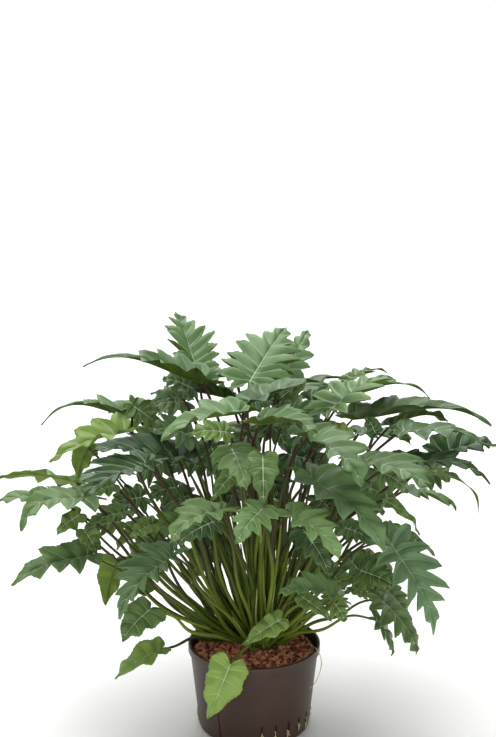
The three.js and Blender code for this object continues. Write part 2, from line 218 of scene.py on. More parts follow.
def place_piece(name, shape, finishes, slot, *nodes):
    """Makes a piece of the plant from a bmesh, gives it its finishes and tells the frame of it."""
    piece = mesh_object(name, shape, finishes)
    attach(piece, "root")
    if nodes:
        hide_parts(*nodes)
    return piece


def slot_cutter(shape, turn):
    """An upright slot with round ends, cut through the wall at an angle round the pot."""
    half = (SLOT_HIGH - SLOT_LOW - SLOT_WIDTH) / 2
    made = bmesh.ops.create_circle(shape, cap_ends=True, radius=SLOT_WIDTH / 2, segments=16)["verts"]
    for vert in made:
        vert.co.y += half if vert.co.y > 0 else -half
    face = made[0].link_faces[0]
    grown = bmesh.ops.extrude_face_region(shape, geom=[face], use_keep_orig=True)["geom"]
    tops = [item for item in grown if isinstance(item, bmesh.types.BMVert)]
    bmesh.ops.translate(shape, verts=tops, vec=(0, 0, CUTTER_DEPTH))
    stand = Matrix.Rotation(math.radians(90), 4, "X")
    middle = Vector((0, -wall_radius(SLOT_LOW) + CUTTER_DEPTH / 2, (SLOT_LOW + SLOT_HIGH) / 2))
    spot = Matrix.Rotation(math.radians(turn), 4, "Z") @ Matrix.Translation(middle) @ stand
    bmesh.ops.transform(shape, matrix=Matrix.Scale(MM, 4) @ spot, verts=made + tops)


def recess_cutter(shape, start, end, top, depth):
    """A shallow sunk field in the outside of the wall, between two angles and below a height."""
    low, high = wall_radius(0), wall_radius(top)
    corners = [(low - depth, -CUT_BELOW), (high - depth, top)]
    corners += [(high + CUT_PAST, top), (low + CUT_PAST, -CUT_BELOW)]
    first = Matrix.Rotation(math.radians(start), 4, "Z")
    points = [shape.verts.new(first @ Vector((0, -radius * MM, height * MM))) for radius, height in corners]
    face = shape.faces.new(points)
    steps = max(2, round((end - start) / PANEL_STEP))
    turn = {"cent": (0, 0, 0), "axis": (0, 0, 1), "angle": math.radians(end - start)}
    spun = bmesh.ops.spin(shape, geom=[face] + list(face.edges) + points, steps=steps, **turn)["geom_last"]
    bmesh.ops.contextual_create(shape, geom=[item for item in spun if isinstance(item, bmesh.types.BMEdge)])


def add_node(tree, kind, values=None, **settings):
    """A node with its settings made and its inputs set, or linked where a socket is given."""
    made = tree.nodes.new(kind)
    for name, setting in settings.items():
        setattr(made, name, setting)
    for key, value in (values or {}).items():
        if isinstance(value, bpy.types.NodeSocket):
            tree.links.new(value, made.inputs[key])
        else:
            made.inputs[key].default_value = value
    return made


def noise(tree, scale, detail=2, where=None):
    """A cloudy pattern about 0.5 in the object's own space, or in another that is given."""
    if where is None:
        where = add_node(tree, "ShaderNodeTexCoord").outputs["Object"]
    values = {"Vector": where, "Scale": scale, "Detail": detail}
    return add_node(tree, "ShaderNodeTexNoise", values).outputs["Fac"]


def mix_colours(tree, share, first, second):
    return add_node(tree, "ShaderNodeMix", {0: share, 6: first, 7: second}, data_type="RGBA").outputs[2]


def add_relief(tree, shader, height, strength, distance):
    """Fine relief on a finish, with its full depth in metres."""
    relief = add_node(tree, "ShaderNodeBump", {"Height": height, "Strength": strength, "Distance": distance})
    tree.links.new(relief.outputs["Normal"], shader.inputs["Normal"])


pot_finish, tree, shader = finish_of("pot_plastic", POT_ROUGHNESS, POT_GLOSS)
brown = mix_colours(tree, noise(tree, scale=9, detail=4), POT_DARK, POT_LIGHT)
tree.links.new(brown, shader.inputs["Base Color"])
add_relief(tree, shader, noise(tree, scale=900), strength=0.15, distance=0.0004)

base_corner = (wall_radius(CORNER_RADIUS) - CORNER_RADIUS, CORNER_RADIUS)
band_low = POT_HEIGHT - RIM_BAND
inner_rim = wall_radius(POT_HEIGHT) - WALL + INNER_EDGE
inner_foot = wall_radius(CORNER_RADIUS) - WALL
pot_profile = [(0, BASE_HOLLOW), (BASE_RADIUS - FOOT_RING - FOOT_SLOPE, BASE_HOLLOW)]
pot_profile += [(BASE_RADIUS - FOOT_RING, 0), *arc(base_corner, CORNER_RADIUS, -90, 0, 6)]
pot_profile += [(wall_radius(band_low - 1), band_low - 1), (wall_radius(band_low), band_low)]
pot_profile += arc((RIM_RADIUS - BAND_EDGE, band_low + BAND_EDGE), BAND_EDGE, -90, 0, 2)
pot_profile += arc((RIM_RADIUS - RIM_EDGE, POT_HEIGHT - RIM_EDGE), RIM_EDGE, 0, 90, 4)
pot_profile += arc((inner_rim, POT_HEIGHT - INNER_EDGE), INNER_EDGE, 90, 180, 3)
pot_profile += [(inner_foot, CORNER_RADIUS), (inner_foot - CORNER_RADIUS + WALL, BASE_THICKNESS)]
pot_profile += [(0, BASE_THICKNESS)]
pot_shape = bmesh.new()
spin_profile(pot_shape, pot_profile, POT_STEPS)
pot = place_piece("grow_pot", pot_shape, [pot_finish], "pot_plastic", "pot")

cutter_shape = bmesh.new()
for index in range(SLOT_COUNT):
    slot_cutter(cutter_shape, FIRST_SLOT + index * SLOT_STEP)
recess_cutter(cutter_shape, PANEL_FROM, PANEL_TO, PANEL_TOP, PANEL_DEPTH)
seam = math.degrees(SEAM_WIDTH / BASE_RADIUS)
recess_cutter(cutter_shape, PANEL_FROM - seam, PANEL_FROM, POT_HEIGHT / 2, 2 * PANEL_DEPTH)
bmesh.ops.recalc_face_normals(cutter_shape, faces=cutter_shape.faces)
cutter = mesh_object("slot_cutter", cutter_shape)
cut = pot.modifiers.new("slots", "BOOLEAN")
cut.object = cutter
cut.solver = "EXACT"
cut.use_self = True
bpy.context.view_layer.update()
cut_pot = bpy.data.meshes.new_from_object(pot.evaluated_get(bpy.context.evaluated_depsgraph_get()))
pot.modifiers.clear()
pot.data = cut_pot
bpy.data.objects.remove(cutter)
pot.data.shade_smooth()
pot.data.set_sharp_from_angle(angle=SHARP_ANGLE)

# ---- Clay granules ------------------------------------------------------------------------------
# The pot is filled with broken clay granules almost to the rim. A closed bed stands for the depth
# of the fill and the loose granules lie over it, in no order and at no even height.
GRANULE_LEVEL = 173
GRANULE_COUNT = 1300
GRANULE_RADIUS = 5.6
GRANULE_SIZES = (0.7, 1.25)
GRANULE_STRETCH = ((0.75, 1.2), (0.75, 1.1), (0.6, 1.0))
GRANULE_LIFTS = (-4.5, 1.5)
GRANULE_STRAY = 2
GRANULE_BREAK = 0.22
GOLDEN_ANGLE = math.radians(137.508)
CROWN = Vector((20, 36, 0))
CROWN_CLEAR = 34
BED_DEPTH = 5
BED_GAP = 3.5
BED_FOOT = 12
CLAY_DARK = (0.032, 0.008, 0.004, 1)
CLAY_RED = (0.31, 0.076, 0.034, 1)
CLAY_PALE = (0.60, 0.27, 0.15, 1)
CLAY_ROUGHNESS = 0.88


def attribute(tree, name):
    return add_node(tree, "ShaderNodeAttribute", attribute_name=name).outputs["Fac"]


def calculate(tree, operation, *values):
    return add_node(tree, "ShaderNodeMath", dict(enumerate(values)), operation=operation).outputs[0]


clay_finish, tree, shader = finish_of("clay_granules", CLAY_ROUGHNESS)
pores = noise(tree, scale=420, detail=3)
mottle = calculate(tree, "MULTIPLY_ADD", pores, 0.5, attribute(tree, "shade"))
ramp = add_node(tree, "ShaderNodeValToRGB", {"Fac": mottle})
ramp.color_ramp.elements[0].position = 0.22
ramp.color_ramp.elements[0].color = CLAY_DARK
ramp.color_ramp.elements[1].position = 1.2
ramp.color_ramp.elements[1].color = CLAY_PALE
ramp.color_ramp.elements.new(0.62).color = CLAY_RED
tree.links.new(ramp.outputs["Color"], shader.inputs["Base Color"])
add_relief(tree, shader, pores, strength=0.6, distance=0.0006)

granule_shape = bmesh.new()
shade_of = granule_shape.verts.layers.float.new("shade")
bed_top = GRANULE_LEVEL - BED_DEPTH
bed = [(0, BED_GAP + 1), (BASE_RADIUS - BED_FOOT, BED_GAP + 1)]
bed += [(wall_radius(CORNER_RADIUS) - BED_GAP, CORNER_RADIUS + 1)]
bed += [(wall_radius(bed_top) - BED_GAP, bed_top), (0, bed_top)]
spin_profile(granule_shape, bed, POT_STEPS // 2)
draw = random.Random(7)
inside = wall_radius(GRANULE_LEVEL) - WALL
for index in range(GRANULE_COUNT):
    turn = index * GOLDEN_ANGLE
    far = (inside - GRANULE_RADIUS) * math.sqrt((index + 0.5) / GRANULE_COUNT)
    stray = [draw.uniform(-GRANULE_STRAY, GRANULE_STRAY) for _ in range(2)]
    spot = Vector((far * math.cos(turn) + stray[0], far * math.sin(turn) + stray[1], 0))
    size = GRANULE_RADIUS * draw.uniform(*GRANULE_SIZES)
    lift = draw.uniform(*GRANULE_LIFTS)
    stretch = Vector([draw.uniform(*limits) for limits in GRANULE_STRETCH]) * size * MM
    turned = Euler([draw.uniform(0, math.tau) for _ in range(3)])
    tint = draw.random()
    if (spot - CROWN).length < CROWN_CLEAR or spot.length > inside - size:
        continue
    spot.z = GRANULE_LEVEL + lift
    stand = Matrix.LocRotScale(spot * MM, turned, stretch)
    for vert in bmesh.ops.create_icosphere(granule_shape, subdivisions=1, radius=1, matrix=stand)["verts"]:
        vert.co += (vert.co - spot * MM) * draw.uniform(-GRANULE_BREAK, GRANULE_BREAK)
        vert[shade_of] = tint
place_piece("clay_granules", granule_shape, [clay_finish], "clay_granules", "granules")

# ---- How the leaves grow ------------------------------------------------------------------------
# A grown leaf has a fan of narrow lobes round its base, a few larger ones that sweep forward, and
# a long end lobe; a young one is a plain heart with a waved edge. Each has a stalk of its own.

# A form is half a leaf's edge from the notch to the tip: each station's place on the midrib (0 to
# 1), the angle in degrees between its vein and the midrib, and the vein's share of the blade's
# reach. Bays and lobe tips take turns.
FORMS = {
    "mature": [
        (0.0, 165, 0.25), (0.0, 140, 0.5), (0.01, 118, 0.38), (0.02, 92, 0.66), (0.05, 80, 0.48),
        (0.07, 72, 0.83), (0.11, 66, 0.56), (0.14, 60, 0.93), (0.2, 56, 0.6), (0.24, 52, 1.0),
        (0.33, 50, 0.55), (0.38, 44, 0.94), (0.5, 46, 0.37), (0.58, 38, 0.62), (0.7, 44, 0.26),
        (0.78, 40, 0.32), (0.88, 50, 0.14), (1.0, 60, 0.02),
    ],
    "broad": [
        (0.0, 160, 0.34), (0.0, 136, 0.66), (0.02, 114, 0.52), (0.05, 94, 0.86), (0.11, 82, 0.62),
        (0.16, 70, 1.0), (0.24, 64, 0.66), (0.31, 54, 0.98), (0.43, 54, 0.52), (0.54, 46, 0.66),
        (0.68, 48, 0.4), (0.82, 48, 0.3), (0.92, 54, 0.12), (1.0, 60, 0.02),
    ],
    "tongue": [
        (0.0, 160, 0.3), (0.0, 138, 0.64), (0.02, 116, 0.48), (0.06, 94, 0.86), (0.13, 80, 0.58),
        (0.19, 66, 1.0), (0.3, 62, 0.56), (0.38, 52, 0.86), (0.5, 54, 0.46), (0.62, 50, 0.48),
        (0.75, 50, 0.38), (0.88, 54, 0.2), (1.0, 60, 0.02),
    ],
    "cut": [
        (0.0, 160, 0.26), (0.0, 144, 0.62), (0.02, 128, 0.36), (0.05, 108, 0.84), (0.09, 94, 0.42),
        (0.12, 80, 1.0), (0.18, 72, 0.44), (0.22, 60, 1.06), (0.32, 56, 0.4), (0.36, 47, 0.96),
        (0.47, 48, 0.3), (0.52, 40, 0.72), (0.64, 45, 0.22), (0.72, 40, 0.36), (0.84, 48, 0.15),
        (1.0, 60, 0.02),
    ],
    "tailed": [
        (0.0, 160, 0.3), (0.0, 140, 0.56), (0.02, 118, 0.42), (0.04, 94, 0.78), (0.09, 80, 0.56),
        (0.12, 68, 0.96), (0.19, 62, 0.58), (0.24, 52, 1.0), (0.34, 52, 0.46), (0.4, 44, 0.78),
        (0.52, 50, 0.22), (0.66, 54, 0.15), (0.83, 56, 0.1), (1.0, 60, 0.02),
    ],
    "young": [
        (0.0, 152, 0.22), (0.0, 134, 0.68), (0.03, 114, 0.9), (0.08, 98, 1.0), (0.16, 86, 0.98),
        (0.26, 76, 1.0), (0.38, 68, 0.82), (0.52, 60, 0.72), (0.68, 56, 0.47), (0.84, 56, 0.27),
        (1.0, 60, 0.02),
    ],
}
# Each leaf: form; blade base; blade tip; the way its upper face looks, as an angle round the plant
# (0 is the front, 90 the right) and a height angle; how far the midrib arches; how far the end
# drops; the reach of the longest vein; the fold of the halves; how light it is, which is partly its
# own tone and partly painted light and shade for where it lies in the plant; and how yellow.
LEAVES = [
    ("tailed", -105, 60, 745, -350, 20, 790, 80, 80, 5, 65, 85, 40, 0.6, 0.1),
    ("mature", -120, 135, 750, -170, 275, 845, 30, 35, 0, 10, 80, 35, 0.85, 0.15),
    ("mature", -10, 30, 755, 70, 235, 820, 0, 60, 5, 10, 95, 15, 0.75, 0.15),
    ("mature", 50, 95, 730, 120, 290, 800, 30, 50, 5, 35, 55, 10, 0.8, 0.1),
    ("broad", -10, -70, 740, 190, 40, 760, -115, 80, 10, 15, 65, 25, 0.35, 0.1),
    ("cut", 155, 0, 705, 295, 135, 735, -90, 75, 10, 20, 85, 20, 0.75, 0.2),
    ("tailed", 205, 150, 700, 375, 130, 690, 145, 85, 10, 45, 45, 25, 0.5, 0.25),
    ("tailed", 205, 260, 690, 300, 330, 690, -135, 80, 10, 20, 40, 20, 0.45, 0.5),
    ("tongue", 205, 80, 660, 495, 60, 650, 170, 85, 10, 60, 70, 40, 0.25, 0.2),
    ("tongue", 290, 120, 635, 420, 190, 620, -160, 60, 10, 25, 50, 35, 0.2, 0.2),
    ("tongue", 295, -20, 665, 475, -60, 640, 75, 80, 10, 35, 65, 15, 0.4, 0.1),
    ("broad", 395, 110, 575, 535, 160, 570, 35, 75, 10, 15, 60, 30, 0.05, 0.15),
    ("mature", 290, -60, 620, 470, -120, 585, 70, 80, 5, 50, 65, 15, 0.0, 0.2),
    ("broad", 215, -120, 635, 340, -240, 615, 75, 85, 10, 20, 80, 15, 0.35, 0.25),
    ("tailed", 340, 60, 560, 480, 80, 450, 105, 50, 10, 60, 35, 30, 0.5, 0.6),
    ("tailed", -245, 130, 645, -450, 100, 640, -165, 85, 10, 75, 65, 40, 0.55, 0.25),
    ("tongue", -260, 45, 645, -420, -15, 595, -55, 75, 10, 15, 65, 35, 0.65, 0.9),
    ("young", -355, 125, 585, -385, 175, 490, -165, 25, 10, 10, 30, 10, 0.75, 0.6),
    ("broad", -145, -15, 600, -330, -100, 645, 75, 75, 10, 20, 85, 30, 0.0, 0.1),
    ("mature", -210, -170, 645, -330, -270, 605, -55, 75, 10, 20, 85, 25, 0.05, 0.15),
    ("tongue", -375, 80, 520, -545, 100, 520, 180, 55, 10, 15, 50, 5, 0.7, 0.6),
    ("tongue", -340, -60, 535, -470, -120, 485, -60, 70, 20, 55, 75, 15, 0.55, 0.3),
    ("broad", -400, 10, 505, -560, 25, 480, -95, 80, 10, 25, 50, 20, 0.65, 0.3),
    ("broad", -335, -60, 410, -490, -140, 375, -25, 75, 10, 25, 70, 20, 0.45, 0.35),
    ("mature", -165, -150, 445, -265, -250, 350, -45, 55, 15, 30, 80, 35, 0.6, 0.1),
    ("young", -215, -85, 300, -270, -135, 250, -20, 40, 10, 10, 40, 10, 0.35, 0.45),
    ("young", -195, -40, 190, -290, -80, 140, -35, 60, 10, 10, 35, 25, 0.7, 0.85),
    ("young", -50, -150, 205, -95, -150, 85, -5, 5, 5, 5, 40, 10, 0.95, 0.85),
    ("young", 55, -90, 280, -25, -110, 230, 10, 45, 10, 5, 25, 10, 0.6, 0.8),
    ("broad", -45, -150, 670, -15, -270, 625, 0, 50, 10, 20, 55, 5, 0.85, 0.3),
    ("young", 15, -260, 690, 15, -325, 615, 5, 35, 5, 10, 30, 5, 0.35, 0.45),
    ("tongue", 15, -275, 590, -35, -330, 540, -10, 40, 10, 15, 45, 10, 0.8, 0.3),
    ("tongue", 70, -225, 560, 160, -305, 500, 55, 65, 10, 20, 65, 25, 1, 0.3),
    ("tongue", 115, -130, 600, 250, -260, 495, 60, 60, 15, 25, 95, 25, 0.8, 0.15),
    ("tongue", 105, -140, 690, 205, -250, 625, 60, 65, 15, 25, 85, 30, 0.5, 0.2),
    ("broad", 10, -165, 725, 120, -240, 730, -65, 90, 10, 20, 65, 35, 0.55, 0.2),
    ("tongue", -30, -140, 740, -180, -215, 705, -60, 80, 10, 25, 65, 35, 0.95, 0.15),
    ("tongue", -65, -220, 565, -160, -300, 530, -60, 75, 15, 25, 65, 25, 0.7, 0.3),
    ("cut", 275, -100, 455, 360, -190, 290, 45, 30, 10, 30, 90, 25, 0.85, 0.0),
    ("broad", 265, -60, 310, 335, -110, 210, 65, 40, 10, 15, 60, 5, 0.4, 0.4),
    ("broad", 255, -20, 250, 295, 0, 155, 80, 20, 10, 10, 40, 10, 0.35, 0.5),
    ("broad", 160, -200, 375, 45, -240, 400, 50, 70, 15, 10, 55, 35, 0.8, 0.25),
    ("mature", -55, 185, 675, -225, 215, 675, 175, 75, 10, 10, 50, 60, 0.1, 0.4),
    ("young", -295, 60, 350, -320, 60, 245, -170, 15, 10, 10, 35, 10, 0.75, 0.65),
    ("young", 270, 0, 510, 345, 0, 430, 60, 40, 10, 15, 20, 10, 0.45, 0.65),
    ("mature", -40, 265, 700, -110, 450, 640, 170, 60, 15, 25, 85, 5, 0.45, 0.2),
    ("mature", 95, 240, 680, 140, 435, 610, 170, 60, 15, 20, 85, 5, 0.5, 0.15),
    ("mature", -190, 210, 645, -330, 370, 585, -150, 60, 15, 20, 80, 5, 0.55, 0.25),
    ("mature", 235, 275, 570, 365, 410, 495, 145, 55, 15, 20, 75, 5, 0.4, 0.2),
    ("broad", 10, 285, 575, 0, 480, 495, 180, 50, 15, 20, 80, 5, 0.6, 0.2),
    ("mature", -135, 290, 505, -235, 445, 405, -160, 45, 15, 20, 80, 5, 0.4, 0.3),
    ("mature", 150, 300, 475, 225, 460, 365, 160, 45, 15, 20, 80, 5, 0.45, 0.3),
    ("tongue", -300, 185, 500, -445, 295, 425, -130, 50, 15, 20, 70, 5, 0.35, 0.2),
    ("mature", 330, 190, 465, 460, 290, 375, 125, 50, 15, 20, 70, 5, 0.5, 0.3),
    ("tongue", -215, 225, 370, -315, 335, 265, -140, 40, 10, 15, 65, 5, 0.4, 0.4),
    ("broad", 35, 300, 395, 50, 430, 290, 175, 40, 10, 15, 70, 5, 0.4, 0.3),
]
LOBE_ROUNDING = 1.25
LOBE_LEAST = 1.12
LOBE_CURL = 0.08
PILLOW = 3.0
RIB_GROOVE = 1.0
RIB_REACH = 3.0
MARGIN_DROOP = 0.08
WAVE_STEP = 2.1
WAVE_SHIFT = 9
TEETH = 2
TOOTH = 0.035
TIP_FOLD = 0.4
LOBE_SINK = 9
BAY_LIFT = 6
REACH_SPREAD = 0.2
SWING_SPREAD = 6
LIFT_SPREAD = 12
TWIST = 24
LEFT_BOW = 0.2
WANDER = 150
MARGIN_WAVE = {"mature": 2.4, "broad": 2.8, "tongue": 3.0, "cut": 2.0, "tailed": 2.4, "young": 3.2}
CROWN_TOP = GRANULE_LEVEL + 3
INNERMOST_STALK = 6
OUTERMOST_STALK = 49
FOOT_TURN = 50
FOOT_SCATTER = 0.35
LEAST_RISE = 110
LEAN_GAIN = 1.3
KNEE_OUT = 0.3
KNEE_UP = 0.45
ARRIVE_ALONG = 0.5
ARRIVE_REACH = 0.3
STALK_FOOT_RADIUS = 5.0
STALK_END_RADIUS = 2.4
STALK_SINK = 3
STALK_START = CROWN + Vector((0, 0, CROWN_TOP - STALK_SINK))
HALF_BLADE = 0.65
SOLID_GAP = 0.35


def chance(seed, place):
    """A draw from 0 to 1 that a leaf always gets again; place keeps its draws apart."""
    value = math.sin(seed * 12.9898 + place * 78.233) * 43758.5453
    return value - math.floor(value)


def blend(start, end, share):
    return start + (end - start) * share


def bezier(corners, share):
    """The place and the direction at one share of a curve through four corner points."""
    first, second, third, last = corners
    rest = 1 - share
    place = first * rest**3 + second * (3 * rest * rest * share) + third * (3 * rest * share * share)
    slope = (second - first) * rest * rest + (third - second) * (2 * rest * share)
    return place + last * share**3, (slope + (last - third) * share * share).normalized()


def eased(before, start, end, after, share):
    """A smooth value between start and end that heeds the ones before and after them."""
    bend = 2 * before - 5 * start + 4 * end - after
    twist = 3 * (start - end) + after - before
    return start + 0.5 * share * (end - before + share * (bend + share * twist))


class Leaf:
    """One leaf: its midrib, its veins on both halves, and the stalk that carries it."""

    def __init__(self, number, row):
        self.form, *ends, turn, height, arch, drop, self.reach, self.fold, self.tone, self.warmth = row
        self.number = number
        self.stations = FORMS[self.form]
        self.last = len(self.stations) - 1
        self.base, tip = Vector(ends[:3]), Vector(ends[3:])
        turn, height = math.radians(turn), math.radians(height)
        level = math.cos(height)
        face = Vector((math.sin(turn) * level, -math.cos(turn) * level, math.sin(height)))
        chord = tip - self.base
        along = chord.normalized()
        face = (face - along * face.dot(along)).normalized()
        first = self.base + chord / 3 + face * arch
        self.midrib = (self.base, first, self.base + chord * 2 / 3 + face * (arch + drop), tip)
        self.side = along.cross(face)
        self.veins = {hand: [self.vein(at, hand) for at in range(self.last + 1)] for hand in (-1, 1)}
        self.stalk = self.stalk_route()

    def frame(self, share):
        """The midrib's place, direction, right-hand side and upward face at a share of its length."""
        place, along = bezier(self.midrib, share)
        side = (self.side - along * self.side.dot(along)).normalized()
        side.rotate(Quaternion(along, math.radians(TWIST) * (chance(self.number, 600) - 0.5) * share))
        return place, along, side, side.cross(along)

    def vein(self, station, hand):
        """The length, angle and lift of one vein on the left (-1) or right (1) half."""
        share, angle, length = self.stations[station]
        lot = station + (40 if hand > 0 else 0)
        reach = self.reach * length * (1 + REACH_SPREAD * (chance(self.number, lot) - 0.5))
        swing = angle + SWING_SPREAD * (chance(self.number, lot + 100) - 0.5)
        wave = -LOBE_SINK if station % 2 else BAY_LIFT
        fold = self.fold * blend(1, TIP_FOLD, share)
        lift = fold + wave + LIFT_SPREAD * (chance(self.number, lot + 200) - 0.5)
        return reach, math.radians(swing), math.radians(lift)

    def vein_between(self, hand, low, part):
        """The same for a line between two stations: a lobe is round, and a bay is narrow."""
        veins = self.veins[hand]
        (reach, swing, lift), (next_reach, next_swing, next_lift) = veins[low], veins[low + 1]
        bay, tip = (reach, next_reach) if low % 2 == 0 else (next_reach, reach)
        if tip > bay * LOBE_LEAST:
            inward = 1 - part if low % 2 == 0 else part
            reach = tip + (bay - tip) * inward**LOBE_ROUNDING
        else:
            before, after = veins[max(low - 1, 0)][0], veins[min(low + 2, self.last)][0]
            reach = eased(before, reach, next_reach, after, part)
        tooth = 1 + TOOTH * math.sin(math.tau * TEETH * part) * math.sin(math.pi * part)
        return reach * tooth, blend(swing, next_swing, part), blend(lift, next_lift, part)

    def point(self, station, across):
        """A point of the upper face. across runs from -1 at the left margin to 1 at the right."""
        hand, out = (1 if across > 0 else -1), abs(across)
        low = min(int(station), self.last - 1)
        part = station - low
        reach, swing, lift = self.vein_between(hand, low, part)
        share = blend(self.stations[low][0], self.stations[low + 1][0], part)
        place, along, side, up = self.frame(share)
        sweep = math.sin(swing)
        course = along * math.cos(swing) + side * (hand * sweep * math.cos(lift))
        course += up * (sweep * math.sin(lift))
        curl = along * (-LOBE_CURL * reach * sweep * 4 * out * (1 - out))
        swell = PILLOW * (0.5 + 0.5 * math.cos(math.pi * station)) * math.sin(math.pi * out)
        groove = RIB_GROOVE * math.exp(-((reach * out * sweep / RIB_REACH) ** 2))
        wave = math.sin(WAVE_STEP * station + WAVE_SHIFT * chance(self.number, 300 + hand))
        edge = out * out * (MARGIN_WAVE[self.form] * wave - MARGIN_DROOP * reach)
        return place + course * (reach * out) + curl + up * (swell - groove + edge)

    def stalk_route(self):
        """The stalk's curve, from the side of the crown that its leaf hangs on to under the blade."""
        _, along, _, up = self.frame(0)
        away = Vector((self.base.x - CROWN.x, self.base.y - CROWN.y, 0))
        run, climb = away.length, self.base.z - CROWN_TOP
        away.normalize()
        lean = min(1, math.atan2(run, climb) / math.radians(90) * LEAN_GAIN)
        foot = away * (1 - FOOT_SCATTER * chance(self.number, 611))
        foot.rotate(Quaternion((0, 0, 1), math.radians(FOOT_TURN) * (chance(self.number, 610) - 0.5)))
        start = STALK_START + foot * blend(INNERMOST_STALK, OUTERMOST_STALK, lean)
        bow = LEFT_BOW * max(0, -away.x)
        rise = max(climb, LEAST_RISE) * (KNEE_UP - bow)
        knee = start + away * (run * (KNEE_OUT + bow)) + Vector((0, 0, rise))
        if self.number > len(LEAVES):
            knee += Vector((-away.y, away.x, 0)) * (WANDER * (chance(self.number, 620) - 0.5))
        arrive = ((self.base - knee).normalized() + along * ARRIVE_ALONG).normalized()
        slant = math.sqrt(max(0, 1 - arrive.dot(up) ** 2))
        end = self.base - up * (HALF_BLADE + SOLID_GAP + STALK_END_RADIUS * slant)
        return start, knee, end - arrive * (ARRIVE_REACH * (end - start).length), end


leaves = [Leaf(number, row) for number, row in enumerate(LEAVES, 1)]
